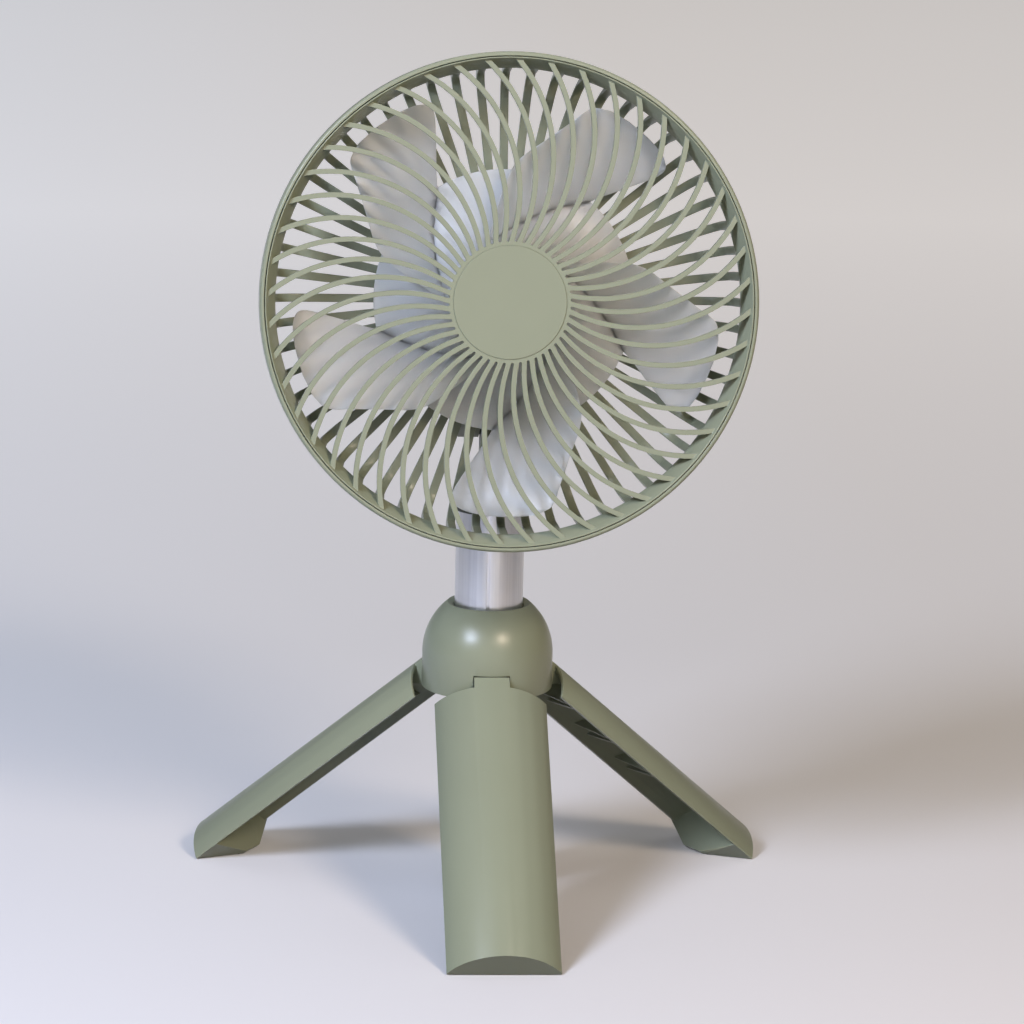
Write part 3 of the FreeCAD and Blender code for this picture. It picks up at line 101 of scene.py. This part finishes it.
# Painted shade: the paper's darker band just behind the fan.
PAPER_PAINTED_SHADE = "#dadadb"
PAPER_FAR = "#f4f4f6"
# Painted light: the cool window's tint on the paper's left and the warm lamp's tint on its right.
PAPER_PAINTED_WINDOW_TINT = "#fafbff"
PAPER_PAINTED_LAMP_TINT = "#f6f0ea"
PAPER_BOUNCE = "#646464"
WINDOW_COOL = "#dae5ff"
LAMP_WARM = "#ffe9d0"
SOFT_WHITE = "#fbfaf8"
ROOM_GREY = "#e6e8ec"

# Where the paper's tones change, in metres: from near the fan, through its painted shade band, to far behind
# it, and across its painted light tints to its sides.
PAPER_START = -0.15
PAPER_PAINTED_SHADE_AT = 0.4
PAPER_END = 2.3
PAPER_SIDE = 0.25
GLOW_START = -0.2
GLOW_END = 1.5
PAPER_SIZE = 9.0

# Light: places in metres, powers in watts, and the room's own strength low down and overhead.
LAMP_AIM = (0, 0, 0.15)
WINDOW_PLACE = (-1.1, -1.3, 1.3)
LAMP_PLACE = (0.75, -1.5, 1.22)
WALL_PLACE = (0.15, -3.2, 1.0)
CEILING_PLACE = (0.1, 0.5, 2.3)
CEILING_AIM = (0, 0.1, 0)
WINDOW_WIDTH = 0.55
LAMP_WIDTH = 0.42
WALL_WIDTH = 2.8
CEILING_WIDTH = 1.6
WINDOW_WATTS = 43
LAMP_WATTS = 20
WALL_WATTS = 17
CEILING_WATTS = 3
ROOM_LOW = 0.13
ROOM_HIGH = 0.2
PAPER_GLOW = 0.42


def linear(colour):
    """An sRGB hex colour as linear RGBA."""
    values = [int(colour[i : i + 2], 16) / 255 for i in (1, 3, 5)]
    return [v / 12.92 if v <= 0.04045 else ((v + 0.055) / 1.055) ** 2.4 for v in values] + [1.0]


class Shader:
    """A node tree, with one call to add a node, its settings and what goes into it."""

    def __init__(self, owner):
        owner.use_nodes = True
        self.tree = owner.node_tree

    def give(self, node, inputs):
        """Each input is another node's output, a number, a vector or a hex colour."""
        for key, value in inputs.items():
            if isinstance(value, bpy.types.NodeSocket):
                self.tree.links.new(value, node.inputs[key])
            else:
                node.inputs[key].default_value = linear(value) if isinstance(value, str) else value

    def add(self, kind, inputs, **settings):
        node = self.tree.nodes.new("ShaderNode" + kind)
        for key, value in settings.items():
            setattr(node, key, value)
        self.give(node, inputs)
        return node.outputs

    def place(self):
        """Object coordinates in metres: a pattern's scale is its repeats per metre."""
        return self.add("TexCoord", {})["Object"]

    def noise(self, repeats, detail=2.0, stretch=(1, 1, 1)):
        where = self.add("Mapping", {"Vector": self.place(), "Scale": stretch})["Vector"]
        return self.add("TexNoise", {"Vector": where, "Scale": repeats, "Detail": detail})["Fac"]

    def remap(self, source, from_low, from_high, low, high):
        """Maps a range to another one, and holds the ends."""
        inputs = {"Value": source, "From Min": from_low, "From Max": from_high, "To Min": low, "To Max": high}
        return self.add("MapRange", inputs)["Result"]

    def spread(self, source, low, high):
        """Maps the middle of a noise pattern to a range."""
        return self.remap(source, 0.3, 0.7, low, high)

    def blend(self, factor, first, second, mode="MIX"):
        inputs = {"Factor": factor, "A": first, "B": second}
        return self.add("Mix", inputs, data_type="RGBA", blend_type=mode)["Result"]

    def relief(self, source, height):
        """Surface relief of a real height, in metres."""
        return self.add("Bump", {"Height": source, "Distance": height, "Strength": 1.0})["Normal"]


def material(name, recipe):
    """A material whose Principled inputs come from the recipe."""
    made = bpy.data.materials.new(name)
    shader = Shader(made)
    shader.give(shader.tree.nodes["Principled BSDF"], recipe(shader))
    return made


def moulded(light, deep, roughness):
    """Injection-moulded ABS: faint flow tone, and a fine spark-eroded grain that softens the gloss."""

    def recipe(shader):
        return {
            "Base Color": shader.blend(shader.spread(shader.noise(35, 3), 0, 1), light, deep),
            "Roughness": shader.spread(shader.noise(420), roughness - 0.03, roughness + 0.04),
            "Normal": shader.relief(shader.noise(2600), 0.000004),
            "IOR": 1.5,
        }

    return recipe


def frosted_polypropylene(shader):
    """Milky moulded blades: a little light passes into the skin, and its fine matt grain scatters it."""
    return {
        "Base Color": shader.blend(shader.spread(shader.noise(40, 3), 0, 1), FROSTED, FROSTED_DEEP),
        "Roughness": shader.spread(shader.noise(500), 0.34, 0.4),
        "Normal": shader.relief(shader.noise(1800), 0.000004),
        "IOR": 1.5,
        "Subsurface Weight": 0.9,
        "Subsurface Scale": 0.006,
        "Subsurface Radius": (1.0, 1.0, 1.0),
    }


def drawn_aluminium(shader):
    """Drawn and anodised tube: fine lines along its length spread the reflections sideways."""
    lines = shader.noise(900, 3, stretch=(1, 1, 0.01))
    return {
        "Base Color": shader.blend(shader.spread(lines, 0, 1), ALUMINIUM, ALUMINIUM_DEEP),
        "Roughness": shader.spread(lines, 0.30, 0.38),
        "Normal": shader.relief(lines, 0.000003),
        "Metallic": 1.0,
    }


def moulded_rubber(shader):
    """Moulded rubber sole with a dusty matt surface."""
    return {
        "Base Color": shader.blend(shader.spread(shader.noise(300, 4), 0, 1), RUBBER, RUBBER_DUSTY),
        "Roughness": shader.spread(shader.noise(900), 0.72, 0.86),
        "Normal": shader.relief(shader.noise(1500, 3), 0.00003),
    }


def plated_steel(shader):
    """Zinc-plated steel of the screws and pins, with faint turning marks."""
    marks = shader.noise(1600, 3)
    return {
        "Base Color": shader.blend(shader.spread(marks, 0, 1), STEEL, STEEL_DEEP),
        "Roughness": shader.spread(marks, 0.26, 0.38),
        "Normal": shader.relief(marks, 0.000004),
        "Metallic": 1.0,
    }


def enamelled_copper(shader):
    """Enamelled copper winding: fine wires laid side by side."""
    wires = shader.add("TexWave", {"Vector": shader.place(), "Scale": 900, "Distortion": 1.0})["Fac"]
    return {
        "Base Color": shader.blend(wires, COPPER, COPPER_DEEP),
        "Roughness": shader.spread(wires, 0.28, 0.4),
        "Normal": shader.relief(wires, 0.00005),
        "Metallic": 1.0,
    }


def shrink_film(shader):
    """Glossy shrink film round the battery cells."""
    return {
        "Base Color": shader.blend(shader.spread(shader.noise(60), 0, 1), CELL_BLUE, CELL_BLUE_DEEP),
        "Roughness": shader.spread(shader.noise(200), 0.18, 0.28),
        "Coat Weight": 0.4,
    }


def board_laminate(shader):
    """Glass-fibre laminate under green solder mask."""
    weave = shader.add("TexChecker", {"Vector": shader.place(), "Scale": 1200})["Fac"]
    return {
        "Base Color": shader.blend(weave, BOARD_GREEN, BOARD_GREEN_DEEP),
        "Roughness": shader.spread(shader.noise(300), 0.3, 0.4),
        "Normal": shader.relief(weave, 0.000008),
    }


def acrylic_lens(shader):
    """Clear acrylic light pipe."""
    return {
        "Base Color": shader.blend(shader.spread(shader.noise(200), 0, 1), LENS, LENS_DEEP),
        "Roughness": shader.spread(shader.noise(300), 0.05, 0.1),
        "IOR": 1.49,
        "Transmission Weight": 0.7,
    }


MATERIALS = {
    "sage_plastic": material("sage_abs", moulded(SAGE, SAGE_DEEP, 0.31)),
    "button_plastic": material("button_abs", moulded(BUTTON, BUTTON_DEEP, 0.46)),
    "frosted_plastic": material("frosted_polypropylene", frosted_polypropylene),
    "mast_aluminium": material("drawn_aluminium", drawn_aluminium),
    "dark_plastic": material("dark_nylon", moulded(DARK_PLASTIC, DARK_PLASTIC_DEEP, 0.5)),
    "pad_rubber": material("moulded_rubber", moulded_rubber),
    "fastener_steel": material("plated_steel", plated_steel),
    "winding_copper": material("enamelled_copper", enamelled_copper),
    "cell_wrap": material("shrink_film", shrink_film),
    "board_laminate": material("board_laminate", board_laminate),
    "lens_plastic": material("acrylic_lens", acrylic_lens),
}

# Impeller, in millimetres behind the grille ring's front edge and out from the fan axis.
FAN_TILT = math.radians(9)
PIVOT = Vector((0, -47, -78))
PIVOT_HEIGHT = 180.3
FIRST_BLADE = math.radians(28.8)
BLADE_COUNT = 5
BLADE_THICK = 1.8
BLADE_CAMBER = 75.0
BLADE_ROUNDING = 0.35
# Stations from root to tip: distance out, trailing and leading edge sideways, and their depths.
BLADE_STATIONS = [
    (17.0, -17.0, 6.0, 15.5, 31.0),
    (35.0, -21.3, 6.5, 14.0, 30.5),
    (46.0, -21.6, 9.6, 13.2, 29.2),
    (58.0, -16.2, 19.6, 12.8, 28.0),
    (68.0, -11.4, 27.4, 12.6, 27.0),
    (73.0, -9.2, 25.4, 12.8, 24.8),
    (76.3, -6.6, 17.5, 13.4, 20.8),
    (78.2, -1.0, 7.0, 15.0, 17.0),
]
HUB_RADIUS, HUB_FRONT, HUB_CHAMFER, FLARE_START = 20.5, 9.0, 1.8, 15.0
FLARE_RADIUS, FLARE_DEPTH, FLARE_BEND, WALL = 47.6, 31.0, 34.0, 1.8
HUB_PLATE, SHAFT_RADIUS = 3.0, 1.5

# Edge rounding of the moulded pieces, in millimetres.
ROUNDING = {
    "front_grille": 0.75,
    "rear_cage": 0.6,
    "rear_housing": 0.5,
    "housing_cover": 0.3,
    "grille_cap": 0.25,
    "dome_cover": 0.45,
    "leg_front": 0.6,
    "leg_right": 0.6,
    "leg_left": 0.6,
    "tube_collar": 0.3,
    "middle_collar": 0.3,
    "tilt_tongue": 0.4,
    "power_button": 0.4,
    "lower_tube": 0.12,
}


def round_edges(obj, width, segments, sharp):
    """Rounds the edges that turn by more than sharp degrees. The width is in millimetres."""
    soft = obj.modifiers.new("rounded_edges", "BEVEL")
    soft.width = width * MM
    soft.segments = segments
    soft.limit_method = "ANGLE"
    soft.angle_limit = math.radians(sharp)
    soft.use_clamp_overlap = True
    soft.harden_normals = True


def dress_node(name, obj, slot):
    """Gives a CAD node its material, and rounds its edges as the moulding does."""
    if not obj.material_slots:
        obj.data.materials.append(None)
    for place_of in obj.material_slots:
        place_of.link = "OBJECT"
        place_of.material = MATERIALS[slot]
    if name in ROUNDING:
        weld = obj.modifiers.new("weld", "WELD")
        weld.merge_threshold = 0.002 * MM
        round_edges(obj, ROUNDING[name], 3, 32)


def dress_all():
    slots = {entry["node"]: entry["material_slot"] for entry in frame["record"]["subparts"]}
    for name, obj in frame["nodes"].items():
        dress_node(name, obj, slots[name])


def head_point(x, y, z):
    """A point of the fan head, in millimetres from the ring front's centre, in the row frame."""
    lean = math.pi / 2 - FAN_TILT
    dy, dz = y - PIVOT.y, z - PIVOT.z
    mast_low, mast_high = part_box("lower_tube")
    back = (mast_low.y + mast_high.y) / 2
    return Vector(
        (
            x * MM,
            back + (dy * math.cos(lean) - dz * math.sin(lean)) * MM,
            (PIVOT_HEIGHT + dy * math.sin(lean) + dz * math.cos(lean)) * MM,
        )
    )


def catmull_rom(t, a, b, c, d):
    """The value between b and c, with a and d as their outer neighbours."""
    square = (2 * a - 5 * b + 4 * c - d) * t**2
    cube = (3 * b - a - 3 * c + d) * t**3
    return (2 * b + (c - a) * t + square + cube) / 2


def smooth_between(rows, steps):
    """Catmull-Rom curve through rows of numbers, with that many steps between two rows."""
    out = []
    last = len(rows) - 1
    for i in range(last):
        before, start, stop, after = (rows[max(0, min(last, i + k))] for k in (-1, 0, 1, 2))
        for k in range(steps):
            t = k / steps
            out.append([catmull_rom(t, *four) for four in zip(before, start, stop, after)])
    out.append(list(rows[last]))
    return out


def evened(stations, passes=30):
    """The stations with their depths smoothed from root to tip, so that no ripple shows."""
    rows = [list(row) for row in stations]
    for _ in range(passes):
        for column in (3, 4):
            depths = [row[column] for row in rows]
            for i in range(1, len(rows) - 1):
                rows[i][column] = (depths[i - 1] + 2 * depths[i] + depths[i + 1]) / 4
    return rows


def blade_point(station, across, back_side):
    """A point on the blade's front or back skin. across runs from the trailing to the leading edge."""
    out, trail_x, lead_x, trail_deep, lead_deep = station
    chord = math.hypot(lead_x - trail_x, lead_deep - trail_deep)
    from_middle = (across - 0.5) * chord
    sag = math.sqrt(BLADE_CAMBER**2 - from_middle**2) - math.sqrt(BLADE_CAMBER**2 - chord**2 / 4)
    x = trail_x + (lead_x - trail_x) * across - sag * (lead_deep - trail_deep) / chord
    deep = trail_deep + (lead_deep - trail_deep) * across + sag * (lead_x - trail_x) / chord
    if back_side:
        deep += BLADE_THICK * (1 - across / 2)
    return x, out, -deep


def turned(point, angle):
    """A head point turned clockwise about the fan axis, as seen from the front."""
    x, y, z = point
    across = x * math.cos(angle) + y * math.sin(angle)
    up = y * math.cos(angle) - x * math.sin(angle)
    return head_point(across, up, z)


def add_blade(mesh, angle, steps=6, columns=22):
    stations = evened(smooth_between(BLADE_STATIONS, steps))
    skins = []
    for back_side in (False, True):
        skin = []
        for row in stations:
            points = [blade_point(row, k / columns, back_side) for k in range(columns + 1)]
            skin.append([mesh.verts.new(turned(point, angle)) for point in points])
        skins.append(skin)
    front, back = skins
    for i in range(len(stations) - 1):
        for k in range(columns):
            mesh.faces.new((front[i][k], front[i][k + 1], front[i + 1][k + 1], front[i + 1][k]))
            mesh.faces.new((back[i][k], back[i + 1][k], back[i + 1][k + 1], back[i][k + 1]))
        for k in (0, columns):
            mesh.faces.new((front[i][k], front[i + 1][k], back[i + 1][k], back[i][k]))
    for i in (0, len(stations) - 1):
        for k in range(columns):
            mesh.faces.new((front[i][k], front[i][k + 1], back[i][k + 1], back[i][k]))


def flare(start_radius, start_depth, end_radius, end_depth, steps=18):
    """Points of the bell's hollow arc, from nose to edge."""
    start, stop = Vector((start_radius, -start_depth)), Vector((end_radius, -end_depth))
    way = stop - start
    left = Vector((-way.y, way.x)).normalized()
    centre = (start + stop) / 2 + left * math.sqrt(FLARE_BEND**2 - way.length_squared / 4)
    first = math.atan2(start.y - centre.y, start.x - centre.x)
    turn = (math.atan2(stop.y - centre.y, stop.x - centre.x) - first) % (2 * math.pi)
    angles = [first + turn * k / steps for k in range(steps + 1)]
    return [(centre.x + FLARE_BEND * math.cos(a), centre.y + FLARE_BEND * math.sin(a)) for a in angles]


def add_bell(mesh, sides=120):
    outside = [(SHAFT_RADIUS, -HUB_FRONT), (HUB_RADIUS - HUB_CHAMFER, -HUB_FRONT)]
    outside += [
        (HUB_RADIUS - HUB_CHAMFER * (1 - math.sin(t)), -HUB_FRONT - HUB_CHAMFER * (1 - math.cos(t)))
        for t in (math.radians(a) for a in range(15, 91, 15))
    ]
    outside += flare(HUB_RADIUS, FLARE_START, FLARE_RADIUS, FLARE_DEPTH - WALL)
    inside = flare(HUB_RADIUS - WALL, FLARE_START, FLARE_RADIUS - WALL, FLARE_DEPTH)
    nose_back = -HUB_FRONT - HUB_PLATE
    profile = outside + [(FLARE_RADIUS, -FLARE_DEPTH)] + inside[::-1]
    profile += [(HUB_RADIUS - WALL, nose_back), (SHAFT_RADIUS, nose_back)]
    angles = [2 * math.pi * k / sides for k in range(sides)]
    rings = []
    for radius, z in profile:
        points = [head_point(radius * math.sin(a), radius * math.cos(a), z) for a in angles]
        rings.append([mesh.verts.new(point) for point in points])
    for i in range(len(rings)):
        here, there = rings[i], rings[(i + 1) % len(rings)]
        for k in range(sides):
            n = (k + 1) % sides
            mesh.faces.new((here[k], here[n], there[n], there[k]))


def moulded_impeller():
    """Bell and five swept blades as smooth skins, in place of the CAD impeller's ruled ones."""
    mesh = bmesh.new()
    add_bell(mesh)
    for k in range(BLADE_COUNT):
        add_blade(mesh, FIRST_BLADE + 2 * math.pi * k / BLADE_COUNT)
    bmesh.ops.recalc_face_normals(mesh, faces=mesh.faces)
    data = bpy.data.meshes.new("moulded_impeller")
    mesh.to_mesh(data)
    mesh.free()
    data.shade_smooth()
    made = bpy.data.objects.new("moulded_impeller", data)
    bpy.context.scene.collection.objects.link(made)
    data.materials.append(MATERIALS["frosted_plastic"])
    round_edges(made, BLADE_ROUNDING, 2, 40)
    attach(made, "fan")
    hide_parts("impeller")


def seamless_paper(shader):
    """Pale paper sheet: matt, with painted light tints (cool from the window on its left, warm from the lamp
    on its right), and painted shade that darkens it from under the fan to a band just behind it.

    Diffuse light bounces off it as off a greyer sheet, so that the fan's undersides stay deep.
    Its far part looks evenly lit to the camera and in reflections, and lights nothing itself.
    """
    where = shader.add("SeparateXYZ", {"Vector": shader.place()})
    # Painted shade: the paper darkens from near the fan to a band just behind it, then lightens far off.
    close = shader.remap(where["Y"], PAPER_START, PAPER_PAINTED_SHADE_AT, 0, 1)
    distant = shader.remap(where["Y"], PAPER_PAINTED_SHADE_AT, PAPER_END, 0, 1)
    # Painted light: the window's cool tint on the left and the lamp's warm tint on the right, in the paper's
    # colour and in its glow.
    sideways = shader.remap(where["X"], -PAPER_SIDE, PAPER_SIDE, 0, 1)
    tone = shader.blend(distant, shader.blend(close, PAPER_NEAR, PAPER_PAINTED_SHADE), PAPER_FAR)
    painted_light_tint = shader.blend(sideways, PAPER_PAINTED_WINDOW_TINT, PAPER_PAINTED_LAMP_TINT)
    rays = shader.add("LightPath", {})
    both = {0: rays["Is Camera Ray"], 1: rays["Is Glossy Ray"]}
    seen = shader.add("Math", both, operation="MAXIMUM")["Value"]
    glow = shader.remap(where["Y"], GLOW_START, GLOW_END, 0, PAPER_GLOW)
    return {
        "Base Color": shader.blend(seen, PAPER_BOUNCE, shader.blend(1.0, tone, painted_light_tint, "MULTIPLY")),
        "Roughness": 0.85,
        "Specular IOR Level": 0.2,
        "Emission Color": painted_light_tint,
        "Emission Strength": shader.add("Math", {0: seen, 1: glow}, operation="MULTIPLY")["Value"],
    }


def stage_floor():
    """One wide sheet, which fills the view behind the fan as well."""
    bpy.ops.mesh.primitive_plane_add(size=PAPER_SIZE, location=(0, 0, cad_low.z))
    floor = bpy.context.object
    floor.name = "floor"
    floor.data.materials.append(material("seamless_paper", seamless_paper))


def area_light(name, place_at, aim, width, power, colour):
    """A square soft box."""
    lamp = bpy.data.lights.new(name, "AREA")
    lamp.size = width
    lamp.energy = power
    lamp.color = linear(colour)[:3]
    made = bpy.data.objects.new(name, lamp)
    made.location = place_at
    made.rotation_euler = (Vector(aim) - Vector(place_at)).to_track_quat("-Z", "Y").to_euler()
    bpy.context.scene.collection.objects.link(made)


def studio_light():
    """A cool window on the upper left, a warmer lamp on the upper right, a pale wall and ceiling."""
    world = bpy.data.worlds.new("room")
    shader = Shader(world)
    height = shader.add("SeparateXYZ", {"Vector": shader.add("TexCoord", {})["Generated"]})["Z"]
    room = {"Color": ROOM_GREY, "Strength": shader.remap(height, -0.1, 0.9, ROOM_LOW, ROOM_HIGH)}
    shader.give(shader.tree.nodes["Background"], room)
    bpy.context.scene.world = world
    area_light("window", WINDOW_PLACE, LAMP_AIM, WINDOW_WIDTH, WINDOW_WATTS, WINDOW_COOL)
    area_light("lamp", LAMP_PLACE, LAMP_AIM, LAMP_WIDTH, LAMP_WATTS, LAMP_WARM)
    area_light("wall", WALL_PLACE, LAMP_AIM, WALL_WIDTH, WALL_WATTS, SOFT_WHITE)
    area_light("ceiling", CEILING_PLACE, CEILING_AIM, CEILING_WIDTH, CEILING_WATTS, SOFT_WHITE)


def camera():
    """Long lens at the photograph's angle."""
    data = bpy.data.cameras.new("camera")
    data.sensor_width = SENSOR_WIDTH
    data.lens = FOCAL_PIXELS / IMAGE_PIXELS * SENSOR_WIDTH
    data.clip_end = 20
    made = bpy.data.objects.new("camera", data)
    forward = Vector(
        (
            -math.sin(CAMERA_TURN) * math.cos(CAMERA_ELEVATION),
            math.cos(CAMERA_TURN) * math.cos(CAMERA_ELEVATION),
            -math.sin(CAMERA_ELEVATION),
        )
    )
    right = Vector((math.cos(CAMERA_TURN), math.sin(CAMERA_TURN), 0))
    mast_low, mast_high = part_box("lower_tube")
    mast = (mast_low + mast_high) / 2
    target = Vector((mast.x, mast.y, TARGET_HEIGHT)) + right * TARGET_RIGHT
    made.location = target - forward * CAMERA_DISTANCE
    made.rotation_mode = "QUATERNION"
    roll = Quaternion((0, 0, 1), CAMERA_ROLL)
    made.rotation_quaternion = forward.to_track_quat("-Z", "Y") @ roll
    bpy.context.scene.collection.objects.link(made)
    bpy.context.scene.camera = made


dress_all()
moulded_impeller()
stage_floor()
studio_light()
camera()
bpy.context.scene.view_settings.view_transform = "Standard"
